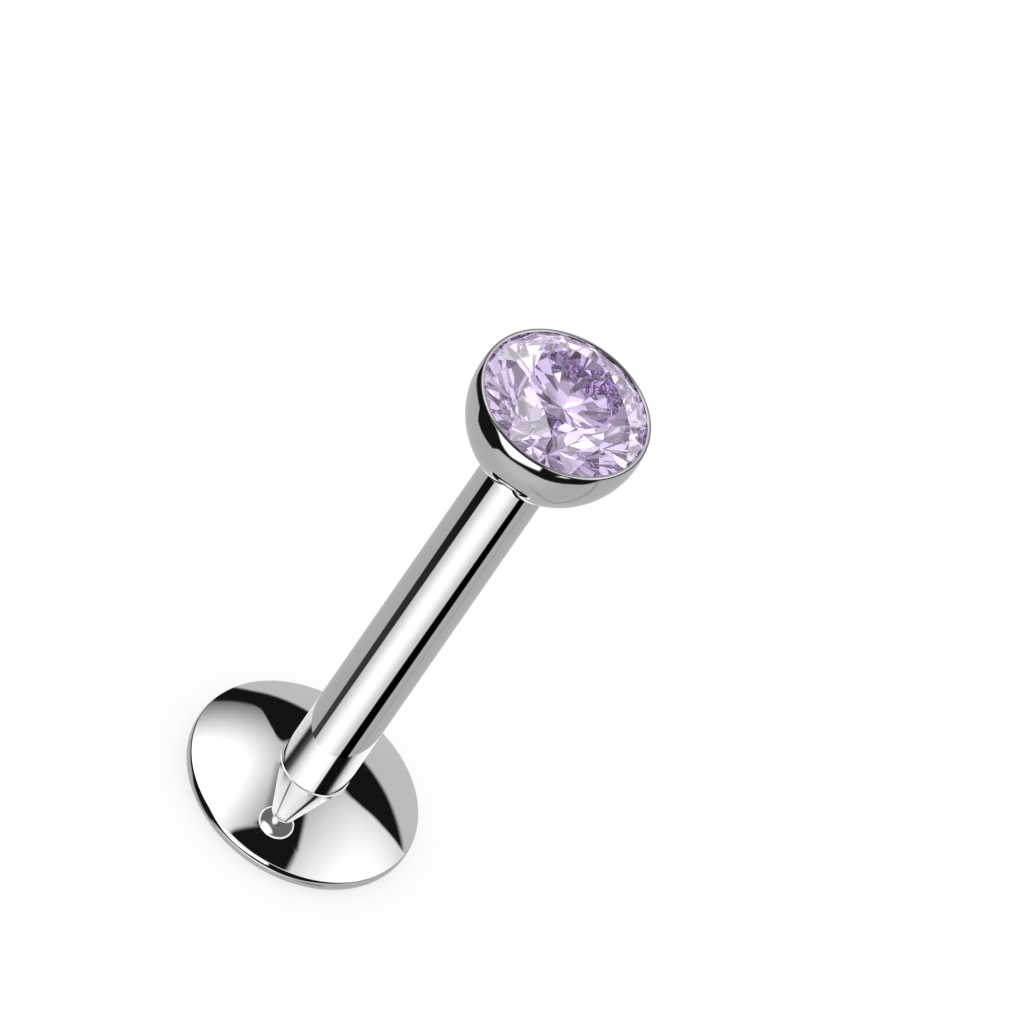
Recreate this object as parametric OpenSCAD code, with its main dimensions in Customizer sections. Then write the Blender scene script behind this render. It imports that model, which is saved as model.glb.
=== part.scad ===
// Labret stud: a domed disc back with a plain post, and a ball end that holds a round brilliant stone.
// Millimetres. The stud stands on the flat of its disc, with +Z along the post and the origin under its centre.

/* [Disc back] */
// Diameter of the disc over its rounded edge
disc_d = 4; // [3.6:0.1:5]
// Radius of the rounding round the disc's edge
edge_r = 0.24; // [0.18:0.01:0.28]
// Angle above level at which the rounded edge gives way to the dome
edge_angle = 25; // [10:1:40]
// Radius of curvature of the domed face
dome_r = 4.35; // [3.5:0.05:8]

/* [Post] */
// Diameter of the post
post_d = 1.17; // [1.1:0.01:1.3]
// Length of post that shows between the disc and the ball
wear_l = 8.37; // [5:0.01:12]
// Radius of the cove where the post meets the disc
cove_r = 0.03; // [0.02:0.01:0.1]

/* [Ball end] */
// Diameter of the ball
ball_d = 3.02; // [3:0.01:3.3]
// Thickness of the lip round the stone
lip_w = 0.08; // [0.07:0.002:0.09]
// How far the lip reaches in over the stone's edge
lip_over = 0.04; // [0.03:0.005:0.05]
// Diameter of the hidden pin under the ball
pin_d = 0.8; // [0.6:0.05:0.9]
// Length of the hidden pin
pin_l = 2; // [1:0.1:3]

/* [Stone] */
// Diameter of the stone at its girdle
stone_d = 2.9; // [2.7:0.01:2.91]
// Width of the table across its flats, as a share of the stone's diameter
table_share = 0.521; // [0.5:0.001:0.6]
// Slope of the kite facets
crown_angle = 34.8; // [32:0.1:37]
// Slope of the main facets under the girdle
pavilion_angle = 40.8; // [40:0.1:42]
// Thickness of the girdle at its thick places
girdle_h = 0.05; // [0.04:0.01:0.09]
// How far the star facets reach from the table towards the girdle, as a share of that way
star_share = 0.452; // [0.4:0.001:0.6]
// How far the lower halves reach from the girdle towards the point, as a share of that way
lower_share = 0.808; // [0.72:0.001:0.85]
// Turn of the stone in its seat, in degrees
stone_turn = 5.8; // [0:0.1:44]
// Depth of the girdle's upper edge below the top of the lip
stone_drop = 0.055; // [0.05:0.001:0.09]

/* [Fits] */
// Gap between the post's end and the ball's seat face
seam_gap = 0.01; // [0.01:0.005:0.03]
// Gap round the pin, and between the stone's girdle and the lip
round_gap = 0.012; // [0.01:0.002:0.02]
// Level gap between the stone's lower facets and the conical seat
seat_gap = 0.05; // [0.04:0.01:0.08]
// Upright gap between the stone's upper facets and the underside of the lip
lip_gap = 0.015; // [0.01:0.001:0.03]

/* [Hidden] */
$fn = 120;

steel = [0.80, 0.80, 0.81];
lilac = [0.80, 0.70, 0.90];

disc_r = disc_d / 2;
post_r = post_d / 2;
ball_r = ball_d / 2;
pin_r = pin_d / 2;
stone_r = stone_d / 2;

// The circle where the dome starts, and the centre of the sphere that the dome is part of
dome_foot_r = disc_r - edge_r + edge_r * cos(edge_angle);
dome_foot_z = edge_r + edge_r * sin(edge_angle);
dome_centre_z = dome_foot_z - sqrt(pow(dome_r, 2) - pow(dome_foot_r, 2));
post_foot_z = dome_centre_z + sqrt(pow(dome_r, 2) - pow(post_r, 2));
post_top_z = post_foot_z + wear_l;
bore_deep = pin_l + 0.2;

// The ball sits on the post's end with a flat as wide as the post
ball_face_z = -sqrt(pow(ball_r, 2) - pow(post_r, 2));
ball_z = post_top_z + seam_gap - ball_face_z;

// The lip: a round edge into which the ball's surface runs, folded in over the stone's edge
bore_r = stone_r + round_gap;
lip_in_r = stone_r - lip_over;
lip_r = lip_w / 2;
lip_mid_r = lip_in_r + lip_r;
lip_mid_z = sqrt(pow(ball_r - lip_r, 2) - pow(lip_mid_r, 2));
lip_top_z = lip_mid_z + lip_r;

// Where the ball's surface and the lip's touch
lip_foot_r = lip_mid_r * ball_r / (ball_r - lip_r);
lip_foot_z = lip_mid_z * ball_r / (ball_r - lip_r);

// Heights of the stone, all from the ball's centre
girdle_top_z = lip_top_z - stone_drop;
girdle_low_z = girdle_top_z - girdle_h;
seat_tip_z = girdle_low_z - (stone_r + seat_gap) * tan(pavilion_angle);
seat_edge_z = seat_tip_z + bore_r * tan(pavilion_angle);

// The lip's underside slopes a little more steeply than the kite facets, as the half facets beside them do
lip_slope = crown_angle + 5;
under_lip_z = girdle_top_z + lip_gap;
under_edge_z = under_lip_z + lip_over * tan(lip_slope);

// The stone's own sizes: corners of the table, tips of the stars and tips of the lower halves
half_step = 22.5;
girdle_steps = 4;
table_flat_r = table_share * stone_r;
table_corner_r = table_flat_r / cos(half_step);
star_tip_r = table_flat_r + star_share * (stone_r - table_flat_r);
lower_tip_r = (1 - lower_share) * stone_r;

// Half of the disc's outline: its rounded edge, the flat under it and the dome over it
module disc_outline() {
    translate([disc_r - edge_r, edge_r]) circle(r = edge_r);
    square([disc_r - edge_r, dome_foot_z]);
    intersection() {
        translate([0, dome_centre_z]) circle(r = dome_r);
        translate([0, edge_r]) square([dome_foot_r, disc_r]);
    }
}

// The small cove between the post and the dome
module cove_outline() {
    difference() {
        translate([post_r / 2, post_foot_z - cove_r]) square([post_r / 2 + cove_r, 2 * cove_r]);
        translate([post_r + cove_r, post_foot_z + cove_r]) circle(r = cove_r);
    }
}

module labret_post() {
    color(steel) rotate_extrude() difference() {
        union() {
            disc_outline();
            cove_outline();
            translate([0, edge_r]) square([post_r, post_top_z - edge_r]);
        }
        translate([0, post_top_z - bore_deep]) square([pin_r + round_gap, bore_deep + 1]);
    }
}

// Half of the ball's outline with its lip, and the stone's bore, its conical seat and the opening over it cut out
module cup_outline() {
    difference() {
        union() {
            intersection() {
                circle(r = ball_r);
                polygon([
                    [0, ball_face_z], [ball_r, ball_face_z], [ball_r, lip_foot_z],
                    [lip_foot_r, lip_foot_z], [lip_mid_r, lip_mid_z], [0, lip_mid_z]
                ]);
            }
            translate([lip_mid_r, lip_mid_z]) circle(r = lip_r);
        }
        polygon([
            [0, seat_tip_z], [bore_r, seat_edge_z], [bore_r, under_lip_z],
            [lip_in_r, under_edge_z], [lip_in_r, ball_r], [0, ball_r]
        ]);
    }
}

module ball_setting() {
    color(steel) translate([0, 0, ball_z]) rotate_extrude() {
        cup_outline();
        translate([0, ball_face_z - pin_l]) square([pin_r, pin_l + lip_w]);
    }
}

// A place on the stone: its distance from the axis, its bearing from the front and its height
function spot(r, bearing, z) = [r * sin(bearing), -r * cos(bearing), z];

// Height of the plane through a, b and c over the point p
function plane_z(a, b, c, p) =
    let (n = cross(b - a, c - a)) a[2] - (n[0] * (p[0] - a[0]) + n[1] * (p[1] - a[1])) / n[2];

// The point on a half facet's plane straight over or under the girdle at this bearing
function girdle_spot(tip, level, bearing) =
    let (
        flat = spot(stone_r, bearing, 0),
        z = plane_z(tip, spot(stone_r, 0, level), spot(stone_r, half_step, level), flat)
    ) [flat[0], flat[1], z];

// Turns a point about the stone's axis
function turned(p, a) = [p[0] * cos(a) - p[1] * sin(a), p[0] * sin(a) + p[1] * cos(a), p[2]];
function mirrored(p) = [-p[0], p[1], p[2]];

function stone_corners() =
    let (
        crown_h = (stone_r - table_corner_r) * tan(crown_angle),
        star_z = (stone_r - star_tip_r * cos(half_step)) * tan(crown_angle),
        lower_z = -girdle_h - (stone_r - lower_tip_r * cos(half_step)) * tan(pavilion_angle),
        star_tip = spot(star_tip_r, 0, star_z),
        lower_tip = spot(lower_tip_r, 0, lower_z),
        edge = [for (i = [0 : girdle_steps]) half_step * i / girdle_steps],
        eighth = [
            spot(table_corner_r, half_step, crown_h), star_tip, lower_tip,
            for (b = edge) girdle_spot(star_tip, 0, b), for (b = edge) girdle_spot(lower_tip, -girdle_h, b)
        ]
    ) [
        [0, 0, -girdle_h - stone_r * tan(pavilion_angle)],
        for (k = [0 : 7]) for (p = eighth) each [turned(p, 45 * k), turned(mirrored(p), 45 * k)]
    ];

// A cut stone is convex, so the hull of its corners is the stone
module stone() {
    corners = stone_corners();
    color(lilac) translate([0, 0, ball_z + girdle_top_z]) rotate([0, 0, stone_turn])
        hull() polyhedron(points = corners, faces = [[for (i = [0 : len(corners) - 1]) i]]);
}

labret_post();
ball_setting();
stone();
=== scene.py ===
# %% [markdown]
# # A labret stud with a cut stone
#
# The real object is a small piece of body jewellery, about 11 mm tall. A plain round post stands on a
# slightly domed disc, and a ball end sits on top of the post. The ball is cut open above and holds a
# round brilliant stone, whose edge lies just under a thin rounded lip. The metal is mirror-polished steel
# and the stone is pale lilac.
#
# The exact solids come from a CAD model, which is loaded first as a fixed frame. Everything here is in
# metres and stays where the CAD model has it. This script makes the three surfaces again, finer and with
# softly eased edges, gives them their finishes, and sets up the studio and the camera.

import bpy
import numpy as np
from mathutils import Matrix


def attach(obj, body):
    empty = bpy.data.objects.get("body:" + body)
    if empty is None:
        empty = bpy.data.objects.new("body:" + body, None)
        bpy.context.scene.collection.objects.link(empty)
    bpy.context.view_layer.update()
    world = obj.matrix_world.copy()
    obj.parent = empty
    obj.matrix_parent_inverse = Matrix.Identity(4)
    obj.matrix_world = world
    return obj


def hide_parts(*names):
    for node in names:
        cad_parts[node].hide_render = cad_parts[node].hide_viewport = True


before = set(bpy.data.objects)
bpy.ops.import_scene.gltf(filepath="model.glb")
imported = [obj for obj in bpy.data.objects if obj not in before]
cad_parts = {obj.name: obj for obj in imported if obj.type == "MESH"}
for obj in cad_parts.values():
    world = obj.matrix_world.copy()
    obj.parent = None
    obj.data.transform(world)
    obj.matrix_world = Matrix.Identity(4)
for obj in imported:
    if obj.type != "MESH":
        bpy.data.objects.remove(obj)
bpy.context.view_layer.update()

MM = 0.001


# %% [markdown]
# ## The camera
#
# The photograph has no perspective: the post is exactly as wide at its foot as at the ball. A camera with
# a very long lens far away would come near to that, but Blender's orthographic camera has it exactly. It
# looks down at the stud from the front, at 45.5 degrees above the floor, and it is rolled so that the
# upright post leans 34.7 degrees to the right in the picture. One pixel of a picture 1024 pixels wide is
# 1/62.5 mm.

# %% Camera
PICTURE_PIXELS, PIXELS_PER_MM = 1024, 62.5
elevation, lean = np.radians(45.5), np.radians(34.705)
middle_right, middle_along = 0.2696 * MM, 5.6707 * MM
camera_distance = 100 * MM

to_right = np.array([1.0, 0.0, 0.0])
along_post = np.array([0.0, np.sin(elevation), np.cos(elevation)])
to_camera = np.array([0.0, -np.cos(elevation), np.sin(elevation)])

camera_data = bpy.data.cameras.new("camera")
camera_data.type = "ORTHO"
camera_data.ortho_scale = PICTURE_PIXELS / PIXELS_PER_MM * MM
camera_data.clip_start, camera_data.clip_end = 0.001, 1.0
camera = bpy.data.objects.new("camera", camera_data)
bpy.context.scene.collection.objects.link(camera)
placing = np.eye(4)
placing[:3, 0] = np.cos(lean) * to_right + np.sin(lean) * along_post
placing[:3, 1] = np.cos(lean) * along_post - np.sin(lean) * to_right
placing[:3, 2] = to_camera
placing[:3, 3] = middle_right * to_right + middle_along * along_post + camera_distance * to_camera
camera.matrix_world = placing.T
bpy.context.scene.camera = camera
print("the picture is", round(camera_data.ortho_scale / MM, 2), "mm wide")

# %% [markdown]
# ## Turned surfaces
#
# Disc, post and ball are turned on a lathe, so each is an outline carried round an axis. The outline
# could be drawn as a curve and turned with the Screw modifier, but a mirror finish shows every small
# error of a surface. So the outlines are worked out here from straight lines and parts of circles that
# run smoothly into each other, and each place keeps its exact outward direction, which becomes the normal
# of the mesh. A row of an outline is radius, height, outward in radius and outward in height.


# %% Outline helpers
def straight(start, end, steps):
    """start + t * (end - start), for equal steps of t from 0 to 1. Outward is the way of the line, turned a
    quarter to the right."""
    t = np.linspace(0, 1, steps + 1)[:, None]
    start, end = np.array(start), np.array(end)
    way = (end - start) / np.hypot(*(end - start))
    return np.hstack([start + t * (end - start), np.tile([way[1], -way[0]], (steps + 1, 1))])


def part_circle(centre, radius, first, last, steps, hollow=False):
    """centre + radius * (cos t, sin t), for equal steps of the angle t in degrees. Outward is away from the
    centre, or towards it where the metal is hollow."""
    t = np.radians(np.linspace(first, last, steps + 1))
    away = np.column_stack([np.cos(t), np.sin(t)])
    return np.hstack([np.array(centre) + radius * away, -away if hollow else away])


def heading(centre, place):
    """The angle of the way from a centre to a place, in degrees above level."""
    return float(np.degrees(np.arctan2(place[1] - centre[1], place[0] - centre[0])))


def eased_path(corners, easing, steps=6):
    """Straight lines through the corners, with a part circle of radius `easing` in place of each inner one.
    Its centre lies on the line that halves the corner, at easing / sin(half the corner's angle) from it."""
    corners = [np.array(c, float) for c in corners]
    rows, start = [], corners[0]
    for before, here, after in zip(corners, corners[1:], corners[2:]):
        back, on = before - here, after - here
        back, on = back / np.hypot(*back), on / np.hypot(*on)
        half = np.arccos(np.clip(back @ on, -1, 1)) / 2
        centre = here + (back + on) / np.hypot(*(back + on)) * easing / np.sin(half)
        leave, join = here + back * easing / np.tan(half), here + on * easing / np.tan(half)
        first, last = heading(centre, leave), heading(centre, join)
        hollow = back[0] * on[1] - back[1] * on[0] > 0
        if hollow and last > first:
            last -= 360
        if not hollow and last < first:
            last += 360
        rows += [straight(start, leave, 3), part_circle(centre, easing, first, last, steps, hollow)]
        start = join
    return np.vstack(rows + [straight(start, corners[-1], 3)])


# %% Mesh helpers
def new_piece(name, points, faces):
    """A mesh object at the origin, from points in millimetres and a list of faces."""
    mesh = bpy.data.meshes.new(name)
    mesh.from_pydata((points * MM).tolist(), [], faces)
    mesh.update()
    piece = bpy.data.objects.new(name, mesh)
    bpy.context.scene.collection.objects.link(piece)
    return piece


def turned_piece(name, outline, around=256):
    """The outline (r, z) carried round the z axis: x = r sin t, y = -r cos t, z = z, for `around` equal
    steps of t. Its first and last rows lie on the axis. Each is a single point, closed by triangles. Rows
    less than a millionth of a millimetre apart count as one."""
    moved = np.hypot(*np.diff(outline[:, :2], axis=0).T) > 1e-6
    rows = outline[np.concatenate([[True], moved])]
    t = np.arange(around) * 2 * np.pi / around
    ring = np.stack([np.sin(t), -np.cos(t), np.ones_like(t)], axis=-1)
    points = rows[:, None, [0, 0, 1]] * ring
    normals = rows[:, None, [2, 2, 3]] * ring
    points = np.vstack([points[0, :1], points[1:-1].reshape(-1, 3), points[-1, :1]])
    normals = np.vstack([normals[0, :1], normals[1:-1].reshape(-1, 3), normals[-1, :1]])
    normals[0], normals[-1] = [0, 0, np.sign(rows[0, 3])], [0, 0, np.sign(rows[-1, 3])]
    inner = 1 + np.arange((len(rows) - 2) * around).reshape(-1, around)
    after = np.roll(inner, -1, axis=1)
    walls = np.stack([inner[:-1], after[:-1], after[1:], inner[1:]], axis=-1).reshape(-1, 4)
    first = np.stack([np.zeros(around, int), after[0], inner[0]], axis=-1)
    last = np.stack([inner[-1], after[-1], np.full(around, len(points) - 1)], axis=-1)
    piece = new_piece(name, points, walls.tolist() + first.tolist() + last.tolist())
    piece.data.shade_smooth()
    piece.data.normals_split_custom_set_from_vertices(normals.tolist())
    print(name, "has", len(points), "points on", len(rows), "rows")
    return piece


# %% [markdown]
# ## Disc and post
#
# The back of the stud is one solid piece of steel: a disc 4 mm across with a bull-nosed edge and a gently
# domed face, and a post 1.17 mm thick that rises from it. Between edge and dome there is a clear ridge,
# which polishing has softened a little. A Bevel modifier could round it, but would leave its own facets
# in the mirror. So a small part circle that touches both curves from inside stands for the ridge, and one
# that touches dome and post from outside makes the cove at the post's foot. The end of the post has a
# bore, which the ball end's hidden pin fills.

# %% Disc and post
disc_r, edge_r, dome_r = 2.0, 0.24, 4.35
ridge_r, cove_r, post_r = 0.02, 0.03, 0.585
post_foot_z, post_top_z = 0.7774, 9.1474
bore_r, bore_floor_z = 0.412, 6.9474
end_easing, end_stretch = 0.012, 0.1

edge_middle = np.array([disc_r - edge_r, edge_r])
dome_middle = np.array([0, post_foot_z - np.sqrt(dome_r**2 - post_r**2)])


def touching(middle, radius, other_middle, other_radius):
    """The outer one of the two places at `radius` from one middle and `other_radius` from the other."""
    gap = other_middle - middle
    far = np.hypot(*gap)
    along = (radius**2 - other_radius**2 + far**2) / (2 * far)
    aside = np.sqrt(radius**2 - along**2)
    way = gap / far
    places = [middle + along * way + side * aside * np.array([-way[1], way[0]]) for side in (1, -1)]
    return max(places, key=lambda p: p[0])


ridge_middle = touching(edge_middle, edge_r - ridge_r, dome_middle, dome_r - ridge_r)
cove_middle = np.array([post_r + cove_r, 0.0])
cove_middle[1] = dome_middle[1] + np.sqrt((dome_r + cove_r) ** 2 - cove_middle[0] ** 2)
ridge_from, ridge_to = heading(edge_middle, ridge_middle), heading(dome_middle, ridge_middle)
cove_from = heading(dome_middle, cove_middle)
post_from_z, post_to_z = cove_middle[1] + end_stretch, post_top_z - end_stretch
disc_and_post_outline = np.vstack([
    straight([0, 0], [disc_r - edge_r, 0], 6),
    part_circle(edge_middle, edge_r, -90, ridge_from, 40),
    part_circle(ridge_middle, ridge_r, ridge_from, ridge_to, 10),
    part_circle(dome_middle, dome_r, ridge_to, cove_from, 56),
    part_circle(cove_middle, cove_r, cove_from + 180, 180, 14, hollow=True),
    straight([post_r, cove_middle[1]], [post_r, post_from_z], 3),
    straight([post_r, post_from_z], [post_r, post_to_z], 24),
    eased_path([[post_r, post_to_z], [post_r, post_top_z], [bore_r, post_top_z],
                [bore_r, bore_floor_z], [0, bore_floor_z]], end_easing),
])
disc_and_post = turned_piece("disc_and_post", disc_and_post_outline)
print("the ridge turns from", round(ridge_from, 1), "to", round(ridge_to, 1), "degrees above level")

# %% [markdown]
# ## Ball end
#
# The ball is 3 mm across and stands on the post with a flat as wide as the post. It is cut open above,
# and the thin edge of its wall is burnished inward over the stone's edge. So its surface runs smoothly
# into a round lip, which catches the light as a fine line round the stone. A cut ball with a separate
# ring on it would show a seam there that the real one doesn't have, so ball and lip are one outline.
# Under the lip a bore goes straight down to a conical seat. The hidden pin is a plain cylinder. The
# outline is one line from the pin's end to the tip of the seat.

# %% Ball end
ball_r, ball_middle_z, face_z = 1.51, 10.5495, 9.1574
pin_r, pin_end_z, face_easing = 0.4, 7.1574, 0.02
cup_r, under_lip_z, cup_easing = 1.462, 10.7911, 0.006
lip_in_r, lip_r, lip_end, lip_edge = 1.41, 0.04, 138.0, 0.001
seat_slope, seat_tip_z = np.radians(40.8), 9.4314

ball_middle = np.array([0, ball_middle_z])
lip_middle = np.array([lip_in_r + lip_r, 0.0])
lip_middle[1] = ball_middle_z + np.sqrt((ball_r - lip_r) ** 2 - lip_middle[0] ** 2)
face_middle = np.array([0.0, face_z + face_easing])
face_middle[0] = np.sqrt((ball_r - face_easing) ** 2 - (face_middle[1] - ball_middle_z) ** 2)
ball_from, ball_to = heading(ball_middle, face_middle), heading(ball_middle, lip_middle)

# The lip ends in a sharp edge: the next line starts a thousandth of a millimetre on, with its own outward
# direction.
lip_row = part_circle(lip_middle, lip_r, ball_to, lip_end, 24)
to_bore = np.array([cup_r, under_lip_z]) - lip_row[-1, :2]
under_lip = lip_row[-1, :2] + lip_edge * to_bore / np.hypot(*to_bore)
ball_end_outline = np.vstack([
    eased_path([[0, pin_end_z], [pin_r, pin_end_z], [pin_r, face_z], [face_middle[0], face_z]], end_easing),
    part_circle(face_middle, face_easing, -90, ball_from, 8),
    part_circle(ball_middle, ball_r, ball_from, ball_to, 72),
    lip_row,
    eased_path([under_lip, [cup_r, under_lip_z], [cup_r, seat_tip_z + cup_r * np.tan(seat_slope)],
                [0, seat_tip_z]], cup_easing),
])
ball_end = turned_piece("ball_end", ball_end_outline)
print("the lip's top is at", round(lip_middle[1] + lip_r, 4), "mm")

# %% [markdown]
# ## The cut stone
#
# The stone is a round brilliant: a flat eight-sided table, eight star facets round it, eight kites and
# sixteen upper halves down to the girdle, and sixteen lower halves and eight long mains down to the
# point. A cone with a facet texture would not sparkle, because the sparkle is light that bounces between
# real flat facets. So the corners are worked out from the cutter's own measures: slopes, table width and
# how far the stars and the lower halves reach. Every facet stays flat and its edges stay sharp.

# %% The stone's corners
stone_r, stone_turn, girdle_top_z, girdle_h = 1.45, np.radians(5.8), 10.7761, 0.05
table_share, star_share, lower_share = 0.521, 0.452, 0.808
crown_slope, pavilion_slope = np.radians(34.8), np.radians(40.8)
EIGHTH, HALF, GIRDLE_STEPS = 45.0, 22.5, 64


def corners_round(radius, bearings, height):
    """Corners at a radius, with bearings b in degrees from the front: x = r sin b, y = -r cos b."""
    b = np.radians(bearings)
    return np.stack([radius * np.sin(b), -radius * np.cos(b), height + 0 * b], axis=-1)


def girdle_round(tip_r, tip_z, level):
    """The edge that the half facets cut into the girdle. Each half facet is the plane through its tip at
    bearing 0 and the girdle's corners at bearings 0 and 22.5. The rest repeats it, mirrored and turned."""
    tip, at_tip, at_main = (corners_round(r, np.array([b]), z)[0]
                            for r, b, z in ((tip_r, 0, tip_z), (stone_r, 0, level), (stone_r, HALF, level)))
    flat = np.cross(at_tip - tip, at_main - tip)
    bearings = np.arange(GIRDLE_STEPS) * 360 / GIRDLE_STEPS
    folded = np.abs((bearings + HALF) % EIGHTH - HALF)
    over = corners_round(stone_r, folded, 0)
    heights = tip[2] - ((over - tip)[:, :2] @ flat[:2]) / flat[2]
    return corners_round(stone_r, bearings, heights)


eight = np.arange(8) * EIGHTH
cos_half = np.cos(np.radians(HALF))
table_flat_r = table_share * stone_r
table_corner_r = table_flat_r / cos_half
star_r = table_flat_r + star_share * (stone_r - table_flat_r)
lower_r = (1 - lower_share) * stone_r
star_z = (stone_r - star_r * cos_half) * np.tan(crown_slope)
lower_z = -girdle_h - (stone_r - lower_r * cos_half) * np.tan(pavilion_slope)
rings = [
    corners_round(table_corner_r, eight + HALF, (stone_r - table_corner_r) * np.tan(crown_slope)),
    corners_round(star_r, eight, star_z),
    girdle_round(star_r, star_z, 0),
    girdle_round(lower_r, lower_z, -girdle_h),
    corners_round(lower_r, eight, lower_z),
    np.array([[0, 0, -girdle_h - stone_r * np.tan(pavilion_slope)]]),
]
stone_corners = np.vstack(rings)
print("the stone has", len(stone_corners), "corners and a table", round(2 * table_flat_r, 3), "mm wide")

# %% The stone's facets
first_of_each = np.cumsum([len(ring) for ring in rings])[:-1]
table, star, upper, lower, tip, point = np.split(np.arange(len(stone_corners)), first_of_each)
step = GIRDLE_STEPS // 16
k = np.arange(8)
half_edge = np.arange(step + 1)
to_right_half = (2 * step * k[:, None] + half_edge) % GIRDLE_STEPS
to_left_half = (2 * step * k[:, None] - step + half_edge) % GIRDLE_STEPS
main_edge = (2 * step * k + step) % GIRDLE_STEPS
each = np.arange(GIRDLE_STEPS)
onward = (each + 1) % GIRDLE_STEPS
facets = [
    table[None, :],
    np.stack([table[k - 1], star[k], table[k]], axis=-1),
    np.stack([table[k], star[k], upper[main_edge], star[(k + 1) % 8]], axis=-1),
    np.hstack([star[k][:, None], upper[to_right_half]]),
    np.hstack([star[k][:, None], upper[to_left_half]]),
    np.stack([upper[each], lower[each], lower[onward], upper[onward]], axis=-1),
    np.hstack([tip[k][:, None], lower[to_right_half][:, ::-1]]),
    np.hstack([tip[k][:, None], lower[to_left_half][:, ::-1]]),
    np.stack([point[0] + 0 * k, tip[(k + 1) % 8], lower[main_edge], tip[k]], axis=-1),
]
cos_turn, sin_turn = np.cos(stone_turn), np.sin(stone_turn)
turning = np.array([[cos_turn, -sin_turn, 0], [sin_turn, cos_turn, 0], [0, 0, 1]])
stone_points = stone_corners @ turning.T + [0, 0, girdle_top_z]
cut_stone = new_piece("cut_stone", stone_points, [facet for group in facets for facet in group.tolist()])

facet_normals = np.array([face.normal for face in cut_stone.data.polygons])
facet_centres = np.array([face.center for face in cut_stone.data.polygons])
from_inside = facet_centres - [0, 0, (girdle_top_z - girdle_h / 2) * MM]
outward = (facet_normals * from_inside).sum(axis=1) > 0
print("the stone has", len(outward), "flat faces, and", outward.sum(), "of them face outward")

# %% [markdown]
# ## Wires for shader nodes
#
# A finish in Blender is a tree of nodes. Placed and linked one by one in a script, they hide the formula
# that they stand for. So a small class stands for a value on its way through the tree: adding or
# multiplying two of them adds a Math node. All other nodes come from one method of the tree.


# %% Node tree helpers
class Wire:
    """A value on its way through a node tree. The usual signs of arithmetic add Math nodes."""

    def __init__(self, bench, socket):
        self.bench, self.socket = bench, socket

    def math(self, operation, *others):
        """A Math node whose first input is this value, and whose next inputs are the others."""
        return self.bench.add("ShaderNodeMath", {"operation": operation}, dict(enumerate((self, *others))))

    def __add__(self, other):
        return self.math("ADD", other)

    def __radd__(self, other):
        return self.math("ADD", other)

    def __mul__(self, other):
        return self.math("MULTIPLY", other)

    def __rmul__(self, other):
        return self.math("MULTIPLY", other)

    def __sub__(self, other):
        return self.math("SUBTRACT", other)

    def __rsub__(self, other):
        return self.bench.add("ShaderNodeMath", {"operation": "SUBTRACT"}, {0: other, 1: self})

    def __truediv__(self, other):
        return self.math("DIVIDE", other)

    def __abs__(self):
        return self.math("ABSOLUTE")

    def rise(self, low, high):
        """0 below low, 1 above high, and the S curve 3 t^2 - 2 t^3 between."""
        return self.bench.add("ShaderNodeMapRange", {"interpolation_type": "SMOOTHSTEP"},
                              {"Value": self, "From Min": low, "From Max": high})

    def step(self, at, soft):
        """A smooth step from 0 to 1, `soft` wide, with its middle at `at`."""
        return self.rise(at - soft / 2, at + soft / 2)

    def between(self, low, high, soft):
        """1 from low to high and 0 outside, with soft ends."""
        return self.step(low, soft) * (1 - self.step(high, soft))


class Bench:
    """A node tree, with one method that adds any node."""

    def __init__(self, tree):
        self.tree = tree
        tree.nodes.clear()

    def add(self, kind, settings=None, sockets=None, out=0):
        """Adds a node, sets its settings, gives its sockets their values or links, and returns one output
        as a wire. A colour ramp's stops come as the setting `stops`, a list of places and colours."""
        made = self.tree.nodes.new(kind)
        for name, value in (settings or {}).items():
            if name == "stops":
                ramp = made.color_ramp
                while len(ramp.elements) < len(value):
                    ramp.elements.new(0.5)
                for element, (place, colour) in zip(ramp.elements, value):
                    element.position, element.color = place, colour
            else:
                setattr(made, name, value)
        for name, value in (sockets or {}).items():
            socket = made.inputs[name]
            if isinstance(value, Wire):
                self.tree.links.new(value.socket, socket)
            else:
                socket.default_value = value
        return Wire(self, made.outputs[out]) if len(made.outputs) else None

    def place(self):
        """The place on the piece, in metres."""
        return self.add("ShaderNodeTexCoord", out="Object")

    def noise(self, place, scale, detail):
        """A soft random pattern from 0 to 1, with about `scale` blobs to each unit of the place."""
        return self.add("ShaderNodeTexNoise", sockets={"Vector": place, "Scale": scale, "Detail": detail})

    def parts(self, vector):
        """The x, y and z of a vector, as three wires."""
        split = self.add("ShaderNodeSeparateXYZ", sockets={"Vector": vector})
        return [Wire(self, output) for output in split.socket.node.outputs]

    def mix(self, share, first, second):
        """A colour between two: first + share * (second - first)."""
        return self.add("ShaderNodeMix", {"data_type": "RGBA"},
                        {"Factor": share, 6: first, 7: second}, out=2)


def new_finish(name):
    """A material and the bench for its empty node tree."""
    material = bpy.data.materials.new(name)
    material.use_nodes = True
    return material, Bench(material.node_tree)


# %% [markdown]
# ## Polished steel
#
# Mirror-polished steel has almost no colour of its own: it shows the room round it, a third darker and
# barely warmer or cooler from place to place. A plain metal of one grey would look too perfect. Real
# polishing leaves a faint haze and very fine scratches, which run round a turned piece. The haze is a
# slow noise in the roughness. The scratches are a noise that is stretched along the turning, and they
# only tilt the reflection by a small part of a degree.


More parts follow.
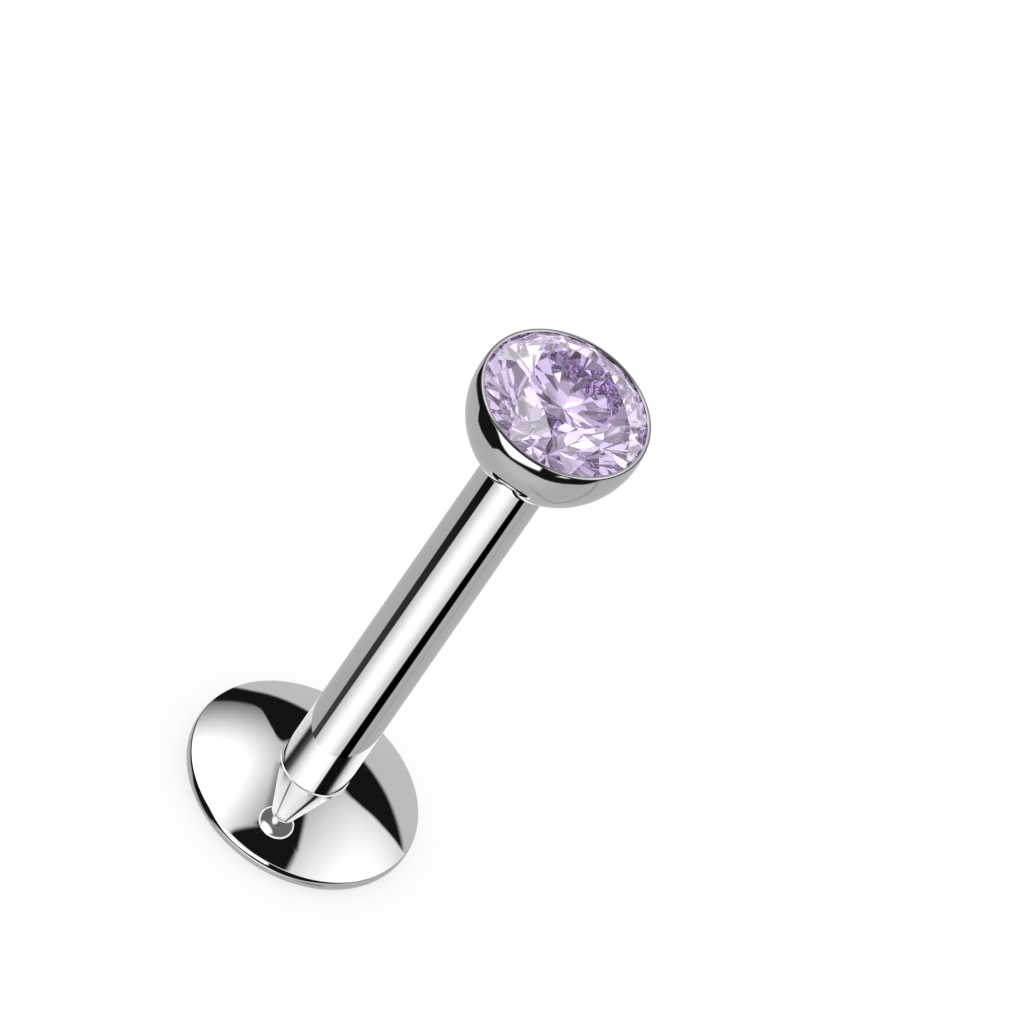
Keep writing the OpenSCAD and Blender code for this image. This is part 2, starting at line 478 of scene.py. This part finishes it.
# %% Steel
def polished_steel(name, axis_z):
    """Metal whose colour and roughness drift slowly with the place. The scratches' noise reads the distance
    from the point (0, 0, axis_z) finely and the bearing round the axis coarsely, so they run round it."""
    material, bench = new_finish(name)
    place = bench.place()
    colour = bench.mix(bench.noise(place, 900.0, 3.0), (0.645, 0.645, 0.652, 1), (0.675, 0.674, 0.672, 1))
    roughness = 0.012 + 0.03 * bench.noise(place, 2600.0, 4.0).rise(0.35, 0.75)
    across, deep, height = bench.parts(place)
    middle = (0, 0, axis_z * MM)
    from_middle = bench.add("ShaderNodeVectorMath", {"operation": "SUBTRACT"}, {0: place, 1: middle})
    distance = bench.add("ShaderNodeVectorMath", {"operation": "LENGTH"}, {0: from_middle}, out="Value")
    thread = bench.add("ShaderNodeCombineXYZ", sockets={
        "X": distance * 90000.0, "Y": across.math("ARCTAN2", deep) * 1.5, "Z": height * 30000.0})
    scratches = bench.noise(thread, 1.0, 3.0)
    tilt = bench.add("ShaderNodeBump", sockets={"Strength": 0.06, "Distance": 4e-7, "Height": scratches})
    shader = bench.add("ShaderNodeBsdfPrincipled", sockets={
        "Base Color": colour, "Metallic": 1.0, "Roughness": roughness, "Normal": tilt})
    bench.add("ShaderNodeOutputMaterial", sockets={"Surface": shader})
    return material


for piece, name, axis_z in ((disc_and_post, "polished_steel_disc_and_post", 0.0),
                            (ball_end, "polished_steel_ball", ball_middle_z)):
    piece.data.materials.append(polished_steel(name, axis_z))
    print(piece.name, "is finished in", name)

# %% [markdown]
# ## Lilac stone
#
# A cut stone is clear and strongly refracting, so that light entering above turns round inside and comes
# back out. The lilac could be all in the surface or all in the depth. In the photograph short and long
# ways through the stone differ only a little in colour, so most of it is in the surface, which light
# passes on its way in and out, and a weak Volume Absorption deepens it where light turns round many
# times. The index of refraction, 2.45, is the one at which the facets under the table show where the
# photograph has them. The facets at the back of the stone send light back that a bare stone would let out
# below. So the stone is silvered under its girdle, as foiled stones are: there the Metallic value goes
# from 0 to 1.


# %% Stone material
def lilac_stone(name):
    """Clear glass with an absorbing inside. Slow clouds of two slightly different lilacs lie in the surface
    colour. Below the girdle it is a mirror."""
    material, bench = new_finish(name)
    place = bench.place()
    clouds, polish = bench.noise(place, 700.0, 2.0), bench.noise(place, 9000.0, 2.0)
    tint = bench.mix(clouds, (0.82, 0.705, 0.968, 1), (0.835, 0.72, 0.978, 1))
    silver_top_z = girdle_top_z - girdle_h - 0.0005
    silvered = bench.parts(place)[2].math("LESS_THAN", silver_top_z * MM)
    shader = bench.add("ShaderNodeBsdfPrincipled", sockets={
        "Base Color": bench.mix(silvered, tint, (0.99, 0.99, 0.99, 1)), "Roughness": 0.002 * polish,
        "Metallic": silvered, "IOR": 2.448, "Transmission Weight": 1.0})
    depth = bench.add("ShaderNodeVolumeAbsorption", sockets={"Color": (0.5, 0.0, 0.74, 1), "Density": 36.0})
    bench.add("ShaderNodeOutputMaterial", sockets={"Surface": shader, "Volume": depth})
    return material


cut_stone.data.materials.append(lilac_stone("lilac_stone"))
print("cut_stone is finished in lilac_stone")

# %% [markdown]
# ## Where the pieces belong
#
# The stud has no moving part, so all three pieces ride on its one body. Each stands for one CAD node,
# which could also have been kept and dressed, but its mesh is coarser than a mirror finish needs.

# %% Frame calls
for piece, node, finish in ((disc_and_post, "labret_post", "polished_steel"),
                            (ball_end, "ball_setting", "polished_steel"),
                            (cut_stone, "stone", "lilac_stone")):
    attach(piece, "root")
    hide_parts(node)
    print(piece.name, "stands for", node, "in", finish)

# %% [markdown]
# ## The floor
#
# The photograph has a plain white ground. The world's white alone would give that, but then the stud
# would leave no shadow. So a wide flat disc stands for the ground, matt and bright by itself, so that it
# stays white and the shadow is faint. It is left out of the steel's and the stone's reflections, where
# the studio's own grey ground takes its place.

# %% Floor
floor_radii, floor_z, floor_around = (3.0, 10.0, 60.0, 800.0), -0.001, 96
floor_bearings = np.arange(floor_around) * 360 / floor_around
floor_middle = np.array([[0, 0, floor_z]])
floor_points = np.vstack([floor_middle] + [corners_round(r, floor_bearings, floor_z) for r in floor_radii])
inner = 1 + np.arange(len(floor_radii) * floor_around).reshape(-1, floor_around)
after = np.roll(inner, -1, axis=1)
floor_faces = np.stack([inner[:-1], inner[1:], after[1:], after[:-1]], axis=-1).reshape(-1, 4).tolist()
floor_faces += np.stack([np.zeros(floor_around, int), inner[0], after[0]], axis=-1).tolist()
floor = new_piece("floor", floor_points, floor_faces)
floor.visible_glossy = floor.visible_transmission = False

pale_ground, bench = new_finish("pale_ground")
grain = bench.noise(bench.place(), 400.0, 3.0)
matt = bench.add("ShaderNodeBsdfDiffuse", sockets={
    "Color": bench.mix(grain, (0.195, 0.195, 0.195, 1), (0.205, 0.205, 0.205, 1))})
glow = bench.add("ShaderNodeEmission", sockets={"Strength": 0.8})
both = bench.add("ShaderNodeAddShader", sockets={0: matt, 1: glow})
bench.add("ShaderNodeOutputMaterial", sockets={"Surface": both})
floor.data.materials.append(pale_ground)
print("the floor is", 2 * floor_radii[-1], "mm across and lies", -floor_z, "mm under the disc")

# %% [markdown]
# ## The studio
#
# Polished metal shows nothing but the studio, so the studio is what makes the picture. Lamps and white
# boards could be set up round the stud, but a formula for the light from every direction is exact and
# quick to change. It is laid out by directions alone: the bearing (0 in front, positive to the right) and
# the height above level, both in degrees. A ball or a dome is a small round mirror in which each place
# shows one direction, so the photograph itself tells what stood where.
#
# Above stand two large white panels, with a dark gap between them in front, where the camera looks in,
# and dark flags overhead and low at the back. Below lies a grey ground up to a rim, with a white card in
# front. Each panel, flag or card is a soft-edged mask.

# %% Directions
GREY, DARK = 0.59, 0.01
TO_DEGREES = np.degrees(1)


def toward(bearing, height):
    """The direction with that bearing and height in degrees, as x, y, z of length 1."""
    b, h = np.radians(bearing), np.radians(height)
    return np.array([np.sin(b) * np.cos(h), -np.cos(b) * np.cos(h), np.sin(h)])


class Look:
    """A direction in a node tree, with its bearing and height in degrees. `bounced` is 1 for light that has
    met polished metal twice or more, and `through` is 1 for light that shines through the stone."""

    def __init__(self, bench):
        self.bench = bench
        self.way = bench.add("ShaderNodeVectorMath", {"operation": "NORMALIZE"}, {0: bench.place()})
        self.x, self.y, self.z = bench.parts(self.way)
        self.bearing = self.x.math("ARCTAN2", self.y * -1.0) * TO_DEGREES
        self.height = self.z.math("ARCSINE") * TO_DEGREES
        self.bounced = bench.add("ShaderNodeLightPath", out="Glossy Depth").math("GREATER_THAN", 1.5)
        self.through = bench.add("ShaderNodeLightPath", out="Is Transmission Ray")

    def cosine_to(self, way):
        """The cosine of the angle between this direction and another one, given as x, y, z."""
        return self.bench.add("ShaderNodeVectorMath", {"operation": "DOT_PRODUCT"},
                              {0: self.way, 1: tuple(way)}, out="Value")

    def around(self, places, low, high):
        """A value that changes with the bearing alone, straight from one place (bearing, value) to the
        next. All values lie between low and high."""
        stops = [((b + 180) / 360, ((v - low) / (high - low),) * 3 + (1,)) for b, v in places]
        share = self.bench.add("ShaderNodeValToRGB", {"stops": stops}, {"Fac": self.bearing / 360 + 0.5})
        return share * (high - low) + low

    def above(self, places, soft, at=0.0):
        """A soft step from 0 to 1 at an edge that runs through the given places (bearing, height)."""
        return (self.height - self.around(places, -90.0, 90.0)).step(at, soft)

    def right_of(self, bearing, leaning=0.0, tilt=0.0, soft=2.5):
        """A soft step from 0 to 1 at a side that leans: it stands at bearing + leaning * tilt."""
        return (self.bearing - (tilt * leaning + bearing)).step(0.0, soft)

    def card(self, corners, soft):
        """1 inside a flat card with these corners and 0 outside, with edges `soft` degrees wide. Seen from
        the stud a straight side is a plane through the stud and two corners, so the mask of a side is a
        step over the distance from that plane, and the card is the product of its sides."""
        ways = [toward(*c) for c in corners]
        centre = np.sum(ways, axis=0)
        mask = None
        for here, there in zip(ways, ways[1:] + ways[:1]):
            flat = np.cross(here, there)
            flat = flat / np.linalg.norm(flat) * np.sign(flat @ centre)
            side = self.cosine_to(flat).step(0.0, np.radians(soft))
            mask = side if mask is None else mask * side
        return mask

    def lamp(self, bearing, height, radius):
        """1 near a direction and 0 far from it: a round soft lamp, whose edge runs from 0.7 to 1.3 times
        its radius in degrees. The rise is over the cosine of the angle between the two directions."""
        edge, core = np.cos(np.radians(1.3 * radius)), np.cos(np.radians(0.7 * radius))
        return self.cosine_to(toward(bearing, height)).rise(edge, core)


def blend(first, second, share):
    """first + (second - first) * share"""
    return first + (second - first) * share


# %% The tent and the ground
back_flag_top = [
    (-180, 41), (-167.5, 39), (-162.5, 43), (-159.5, 38.5), (-158, 29), (-157.3, 23.5), (-151, 21),
    (-146, 20), (-135, 8), (-120, -5), (120, -5), (132, 12), (139, 27.3), (145.4, 35.2), (153.7, 42.4),
    (159.6, 45.4), (180, 47)]


def tent(look):
    """The upper half of the studio: a big white panel on either side, brighter further out to its side, x,
    and dimmer low down, with a dark wedge overhead, a thin dark slot beside it and a dark flag low at the
    back."""
    left = (0.15 - 4.1 * look.x) * look.height.rise(10.0, 62.0)
    right = (0.45 + 2.15 * look.x) * look.height.rise(-10.0, 58.0)
    panels = blend(right, left, look.x.math("LESS_THAN", 0.0))
    wedge = look.card([(62, 73), (99, 76.5), (150, 78), (-90, 83), (-63, 75), (-41, 69.5), (0, 70)], 3.5)
    spur = look.card([(99, 76.5), (166, 66.5), (179, 66.5), (-100, 83)], 2.5)
    slot = look.card([(-90, 86), (-160, 54), (-166, 56), (-140, 87)], 3.0)
    return panels * (1 - wedge) * (1 - spur) * (1 - 0.5 * slot) * look.above(back_flag_top, 3.0) + DARK


def low_half(look, ground_rim, card_foot, card_sides, card_top):
    """The lower half: grey ground inside a rim whose height changes with the bearing, dark beyond it, and a
    white card that stands in front on the far side of the rim."""
    on_ground = 1 - look.above(ground_rim, 2.5)
    lit = 1 + 0.22 * look.card([(-40, -30), (-40, -60), (40, -60), (40, -30)], 30.0)
    card = look.bearing.between(*card_sides, 4.0) * look.above(card_foot, 4.0, at=0.5)
    card = card * (1 - look.height.step(card_top, 6.0))
    return GREY * lit * on_ground + 1.8 * card * (1 - on_ground) + DARK


# %% [markdown]
# ### What disc and post see
#
# The dome sees the tent, and the disc's round edge the lower half. The post is a narrow mirror: from the
# camera's side it shows only a thin band of directions about 45 degrees below level, all the way round.
# There a white card stands in front, between a dark strip and a black one. Disc and post also mirror each
# other, which shows as the cone and the ring in the dome. What has met the metal twice could be left to
# the same studio, but in the photograph it is brighter and has its own strips, so it gets a list of
# bearings of its own.

# %% The disc and post's studio
rim_from_disc = [
    (-180, 18.5), (-172, 17), (-167, 14.8), (-162, 13), (-158, 12.2), (-150, 8), (-142, -20), (-135, -29),
    (-120, -25), (-105, -21), (-87, -24), (-82, -50), (-75, -54), (-60, -56), (-47, -50), (-40, -44),
    (-30, -43), (-15, -40), (0, -38), (15, -36), (30, -35), (45, -27), (60, -16.5), (75, -12), (115, -2),
    (138, 26.5), (150, 26), (171, 23.7), (180, 22)]
foot_from_disc = [
    (-64, 4), (-52, -3), (-45, -9), (-38, -18), (-30, -27), (-15, -30), (0, -23), (15, -21)]

# Strength round the post of what met the metal twice: as the post's own foot shows it, and as the post's
# mirror image in the dome shows it. A row is bearing and strength.
twice_in_foot = [
    (-180, 1.45), (-108, 1.45), (-98, 1.2), (-93, 0.58), (-86, 0.03), (-74, 0.05), (-62, 0.2), (-53, 0.85),
    (-46, 1.3), (-30, 2.0), (0, 2.6), (25, 2.2), (38, 1.7), (41, 0.0), (72, 0.0), (79, 0.1), (87, 0.97),
    (97, 1.54), (110, 1.9), (180, 1.8)]
twice_in_dome = [
    (-180, 1.5), (-60, 1.7), (-50, 1.5), (-48, 0.2), (-43, 0.2), (-39, 1.6), (0, 1.9), (55, 1.5), (62, 1.2),
    (66, 0.05), (80, 0.05), (84, 1.6), (180, 1.7)]
POST_BAND_HEIGHT = -43.4


def round_disc_and_post(look):
    """The tent above, the low half below, the strips in the post's narrow band, and twice mirrored light
    from its own lists. The strips' sides lean: `tilt` is the height above the middle of the band."""
    at_back = abs(look.bearing).step(136.0, 4.0)
    upper = tent(look) + GREY * 1.25 * (1 - look.above(rim_from_disc, 3.0)) * at_back
    low = low_half(look, rim_from_disc, foot_from_disc, (-62.0, 13.0), 20.0)
    up = look.height.step(8.0, 10.0).math("MAXIMUM", at_back * look.height.step(-14.0, 6.0))
    once = blend(low, upper, up)

    tilt = look.height - POST_BAND_HEIGHT
    card = look.right_of(-48.9, 1.7, tilt) * (1 - look.right_of(45.5, 2.6, tilt))
    left_strip = look.right_of(-74.0, -2.9, tilt) * (1 - look.right_of(-48.0))
    shine = 1.6 - 0.76 * abs(look.bearing - (tilt * 2.1 - 2.0)).rise(2.0, 48.0)
    strips = card * shine + left_strip * (0.045 - 0.023 * tilt)
    in_front = look.right_of(-74.0, -2.9, tilt) * (1 - look.right_of(71.5))
    seam = 1 - 0.1 * look.bearing.between(90.0, 98.0, 3.0)
    band = strips * in_front + GREY * seam * (1 - in_front)
    once = blend(once, band, look.height.between(-46.6, -40.3, 1.0))

    foot, mirrored = look.around(twice_in_foot, 0.0, 4.0), look.around(twice_in_dome, 0.0, 4.0)
    dark_over = look.height.between(33.0, 56.0, 4.0) + look.height.rise(78.0, 82.0)
    twice = blend(foot, mirrored, look.height.rise(54.0, 66.0))
    twice = twice * look.height.rise(-87.0, -80.0) * (1 - dark_over) + DARK
    return blend(once, twice, look.bounced)


# %% [markdown]
# ### What the ball sees
#
# The ball shows the lower half of the studio in its whole width: the grey ground with its fine seams, the
# black beyond its rim, the white card in front and a small window on its right. Above that it could see
# the same tent as the disc, but in the photograph its lip is a fine dark and light line, so it gets a
# plain ring of light at middle height, dark in front. The neck, where ball and post mirror each other,
# again has light of its own.

# %% The ball's studio
rim_from_ball = [
    (-180, -20), (-155, -30), (-135, -39.5), (-120, -38.5), (-105, -36.8), (-88, -36.6), (-86.5, -46),
    (-75, -48.7), (-60, -50), (-47, -50.4), (-43, -47.5), (-36, -43), (-15, -41.3), (0, -39.7), (30, -39.5),
    (45, -37.5), (60, -34.6), (75, -33.3), (90, -29), (110, -22), (180, -20)]
foot_from_ball = [
    (-70, -21), (-60, -22.5), (-45, -27), (-35, -33), (-28, -35.5), (-20, -37), (-15, -36.7), (0, -33.6),
    (10, -31.5), (20, -30)]


def round_ball(look):
    """The low half with its seams and window up to 12 degrees below level, and a ring of light above."""
    low = low_half(look, rim_from_ball, foot_from_ball, (-62.0, 17.5), -17.0)
    window = look.card([(38, -27.5), (52, -26), (47, -21.5)], 3.0)
    seams = (look.card([(6, -50.5), (52, -67.5), (53, -69.5), (9, -52)], 1.5)
             + look.card([(52, -67.5), (122, -65), (124, -67), (53, -69.5)], 1.5)
             + look.card([(122, -65), (90, -31), (87, -31), (120, -68)], 1.5))
    ring = look.height.between(30.0, 66.0, 16.0) * (1 - look.bearing.between(-66.0, 26.0, 5.0))
    upper = (0.5 + abs(look.x)) * ring + 0.06
    once = blend(low * (1 - 0.3 * seams) + 1.3 * window, upper, look.height.step(-12.0, 6.0))

    ground, over = 1 - look.height.step(-45.0, 6.0), look.height.rise(30.0, 50.0)
    twice = GREY * ground + 2.3 * look.lamp(-24, 8, 32) + 1.8 * over + 0.3
    return blend(once, twice, look.bounced)


# %% [markdown]
# ### What the stone sees
#
# Each facet of the stone shows a little of the studio in two ways: what shines in from above, turns round
# inside and comes out again, and what the facet itself mirrors, which is weaker and has no lilac in it.
# In a real studio both come from the same lamps. Here they have lamps of their own, so that each can come
# near to the photograph by itself. Lamps add to an even light, and flags take some of it away.
#
# The rows below were not laid out by hand. A separate program traced light through the stone and fitted
# them by least squares to the brightness of the stone in the photograph. The face rows lie where its
# facets mirror. All of them were then rounded. Only the radii of the face rows, one lamp for two
# neighbouring facets, and a few small changes were given one by one.

# %% The stone's studio
# A row is bearing, height and radius in degrees, and strength
inside_base, inside_lamps = 0.4, [
    (-28, 60, 10, 0.70), (53, 69, 18, 0.60), (-137, 29, 30, 1.20), (-23, 13, 16, 1.30), (19, 38, 16, 0.80),
    (24, 21, 24, 0.45), (87, -22, 42, 0.50), (61, 62, 14, 0.35), (-51, 45, 29, 0.55), (-108, 44, 29, 0.80),
    (-163, 7, 54, 0.40), (28, 25, 14, 0.70), (-78, -4, 35, 0.65)]
inside_flags = [
    (42, 63, 30, -0.35), (-42, 13, 24, -0.95), (-84, 43, 20, -1.15), (-144, 32, 24, -1.50),
    (-119, 21, 23, -0.90), (14, 30, 24, -0.70)]
face_base, face_lamps = 0.6, [
    (-42, 61, 9, 1.30), (-121, 63, 9, 1.30), (65, 56, 9, 0.45), (127, 56, 9, 0.40), (-110, 34, 9, 0.20),
    (122, 26, 8, 0.40), (130, 10, 8, 1.45), (157, -3, 5, 1.00), (168, 10, 6, 0.70), (-145, 3, 10, 1.40),
    (-143, 36, 9, 0.45), (-163, 14, 7, 0.60), (-170, -25, 7, 0.35), (-177, -34, 7, 0.30)]
face_flags = [
    (180, 46, 13, -0.20), (133, 85, 8, -0.55), (36, 50, 8, -0.40), (75, 40, 7, -0.20), (149, 29, 8, -0.20),
    (174, -30, 5, -0.20)]


def lit_by(look, base, lamps):
    """The even light plus the sum of strength * lamp."""
    light = base
    for bearing, height, radius, strength in lamps:
        light = light + strength * look.lamp(bearing, height, radius)
    return light


def round_stone(look):
    """Light for the inside and light for the faces. The contrast of what shines through is raised, as
    1.08 * (light / 0.9) ^ 1.3, and it never falls below a faint rest."""
    inside = lit_by(look, inside_base, inside_lamps + inside_flags)
    inside = (inside.math("MAXIMUM", 0.02) / 0.9).math("POWER", 1.3) * 1.08
    return blend(lit_by(look, face_base, face_lamps + face_flags), inside, look.through)


# %% [markdown]
# ## Light for the ground
#
# The background of the picture is the world. It is plain white, for the camera and for the matt floor
# alone, because everything that the metal and the stone mirror comes from the studio.

# %% World
world = bpy.data.worlds.new("studio")
bpy.context.scene.world = world
world.use_nodes = True
world.cycles.sampling_method = "NONE"
bench = Bench(world.node_tree)
ground_light = 1.06
seen = bench.add("ShaderNodeLightPath", out="Is Camera Ray")
on_floor = bench.add("ShaderNodeLightPath", out="Is Diffuse Ray")
plain = bench.add("ShaderNodeBackground", sockets={
    "Color": (1, 1, 1, 1), "Strength": ground_light * seen.math("MAXIMUM", on_floor)})
bench.add("ShaderNodeOutputWorld", sockets={"Surface": plain})
print("the ground is lit with strength", ground_light)

# %% [markdown]
# ## A studio for each piece
#
# One world could light everything, but no single studio gives all that the photograph mirrors: a small
# piece of jewellery is often lit part by part, and the pictures are put together. So each piece has a
# large ball of clear film round it, which shines inward on that piece alone, through light linking. The
# balls differ in size so that they don't touch, and all three are far larger than the stud.


# %% Films
def film_round(name, radius, piece, brightness):
    """A clear ball that shines inward on one piece alone. `brightness` turns a Look into a strength."""
    film = turned_piece(name, part_circle([0, 0], radius, -90, 90, 32), around=64)
    film.visible_camera = film.visible_diffuse = film.visible_shadow = film.visible_volume_scatter = False
    material, bench = new_finish(name)
    material.cycles.emission_sampling = "NONE"
    shine = bench.add("ShaderNodeEmission", sockets={"Strength": brightness(Look(bench))})
    clear = bench.add("ShaderNodeBsdfTransparent")
    both = bench.add("ShaderNodeAddShader", sockets={0: shine, 1: clear})
    bench.add("ShaderNodeOutputMaterial", sockets={"Surface": both})
    film.data.materials.append(material)
    reached = bpy.data.collections.new(name + "_reaches")
    reached.objects.link(piece)
    film.light_linking.receiver_collection = reached
    print(name, "shines on", piece.name, "through", len(material.node_tree.nodes), "nodes")


film_round("light_on_disc_and_post", 100.0, disc_and_post, round_disc_and_post)
film_round("light_on_ball", 210.0, ball_end, round_ball)
film_round("light_on_stone", 2000.0, cut_stone, round_stone)

# %% [markdown]
# ## How the picture is made
#
# Some light turns round dozens of times inside the stone before it comes out. Where its path is cut short
# the stone shows black lumps, so paths may be very long. It costs little, because only the stone needs
# them.

# %% Picture settings
LONGEST_PATH = 60
scene = bpy.context.scene
scene.view_settings.view_transform = "Standard"
scene.cycles.max_bounces = LONGEST_PATH
scene.cycles.transmission_bounces = LONGEST_PATH
scene.cycles.glossy_bounces = LONGEST_PATH
scene.cycles.diffuse_bounces = 2
scene.cycles.transparent_max_bounces = 64
scene.cycles.caustics_reflective = False
scene.cycles.caustics_refractive = False
scene.cycles.use_denoising = True
print("light may turn round", LONGEST_PATH, "times")
